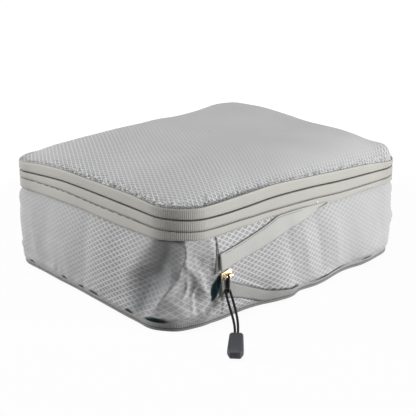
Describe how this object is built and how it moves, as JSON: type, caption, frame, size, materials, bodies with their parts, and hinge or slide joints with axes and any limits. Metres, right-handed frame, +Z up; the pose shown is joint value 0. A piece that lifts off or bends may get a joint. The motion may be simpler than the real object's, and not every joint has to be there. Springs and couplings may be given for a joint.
{
  "type": "compression packing cube",
  "caption": "Soft rectangular packing cube with a domed lid on a fabric hinge, a zip round the lid, and a second zip whose slider squeezes a folding gusset flat; corded pulls.",
  "frame": {"origin": "middle of the base panel's underside, on the surface that the cube stands on", "axes": "+X along the long front face, towards the end with the main slider; -Y out of the front face, which has the compression slider; +Z up"},
  "size_m": [0.3144, 0.3146, 0.1325],
  "materials": {
    "cloth": "silver-grey ripstop with a satin sheen",
    "tape": "matt woven zip tape, warm light grey",
    "trim": "matt woven binding, mid grey",
    "coil": "satin nylon coil",
    "brass": "light gold plated zinc, polished",
    "stops": "grey folded stop, satin",
    "cord": "black braided cord",
    "grip": "charcoal moulded soft plastic"
  },
  "bodies": {
    "base": {"base_panel": "cloth", "base_piping": "trim", "base_binding": "trim", "comp_lower_tape": "tape", "comp_lower_coil": "coil", "comp_lower_stop": "stops", "gusset": "cloth", "gusset_seam": "trim", "lower_yoke": "cloth", "comp_lower_lead": "tape", "comp_lower_lead_coil": "coil", "upper_yoke": "cloth", "comp_upper_lead": "tape", "comp_upper_lead_coil": "coil"},
    "upper": {"comp_upper_tape": "tape", "comp_upper_coil": "coil", "comp_upper_stop": "stops", "upper_binding": "trim", "main_lower_tape": "tape", "main_lower_coil": "coil", "main_zip_stops": "stops", "hinge_web": "trim"},
    "lid": {"lid_panel": "cloth", "lid_binding": "trim", "main_upper_tape": "tape", "main_upper_coil": "coil"},
    "comp_slider": {"comp_slider_body": "brass", "comp_slider_crown": "brass"},
    "comp_tab": {"comp_pull_tab": "brass"},
    "comp_cord": {"comp_pull_cord": "cord"},
    "comp_grip": {"comp_pull_grip": "grip"},
    "main_slider": {"main_slider_body": "brass", "main_slider_crown": "brass"},
    "main_tab": {"main_pull_tab": "brass"},
    "main_cord": {"main_pull_cord": "cord"},
    "main_grip": {"main_pull_grip": "grip"}
  },
  "joints": [
    {"name": "compress", "type": "slide", "parent": "base", "child": "upper", "axis": [0, 0, -1], "range_m": [0, 0.055], "deforming": ["gusset", "gusset_seam", "lower_yoke", "comp_lower_lead", "comp_lower_lead_coil", "upper_yoke", "comp_upper_lead", "comp_upper_lead_coil"]},
    {"name": "lid_open", "type": "hinge", "parent": "upper", "child": "lid", "pos_m": [0, 0.1246, 0.0928], "axis": [-1, 0, 0], "range_deg": [0, 160], "deforming": ["hinge_web"]},
    {"name": "main_slider_run", "type": "slide", "parent": "upper", "child": "main_slider", "axis": [0, -1, 0], "range_m": [0, 0.13]},
    {"name": "main_tab_flip", "type": "hinge", "parent": "main_slider", "child": "main_tab", "pos_m": [0.1539, 0.0604, 0.0928], "axis": [0, -1, 0], "range_deg": [0, 140]},
    {"name": "main_cord_swing", "type": "hinge", "parent": "main_tab", "child": "main_cord", "pos_m": [0.1539, 0.0604, 0.0813], "axis": [0, -1, 0], "range_deg": [0, 54], "deforming": ["main_pull_cord"]},
    {"name": "main_grip_swing", "type": "hinge", "parent": "main_cord", "child": "main_grip", "pos_m": [0.1576, 0.0604, 0.041], "axis": [0, -1, 0], "range_deg": [0, 36]},
    {"name": "comp_slider_run", "type": "slide", "parent": "base", "child": "comp_slider", "axis": [0.9742, 0, -0.2258], "range_m": [0, 0.11302]},
    {"name": "comp_tab_flip", "type": "hinge", "parent": "comp_slider", "child": "comp_tab", "pos_m": [-0.1041, -0.13314, 0.0405], "axis": [-1, 0, 0], "range_deg": [0, 105]},
    {"name": "comp_cord_swing", "type": "hinge", "parent": "comp_tab", "child": "comp_cord", "pos_m": [-0.1041, -0.13314, 0.029], "axis": [-1, 0, 0], "range_deg": [0, 48], "deforming": ["comp_pull_cord"]},
    {"name": "comp_grip_swing", "type": "hinge", "parent": "comp_cord", "child": "comp_grip", "pos_m": [-0.1279, -0.16699, 0.0086], "axis": [-1, 0, 0], "range_deg": [-60, 0]}
  ],
  "couplings": [
    {"joint": "comp_slider_run", "follows": "compress", "ratio": 2.053},
    {"joint": "comp_cord_swing", "follows": "compress", "rad_per_m": 15.232},
    {"joint": "comp_grip_swing", "follows": "compress", "rad_per_m": -19.04},
    {"joint": "main_cord_swing", "follows": "compress", "rad_per_m": 17.136},
    {"joint": "main_grip_swing", "follows": "compress", "rad_per_m": 11.424}
  ]
}
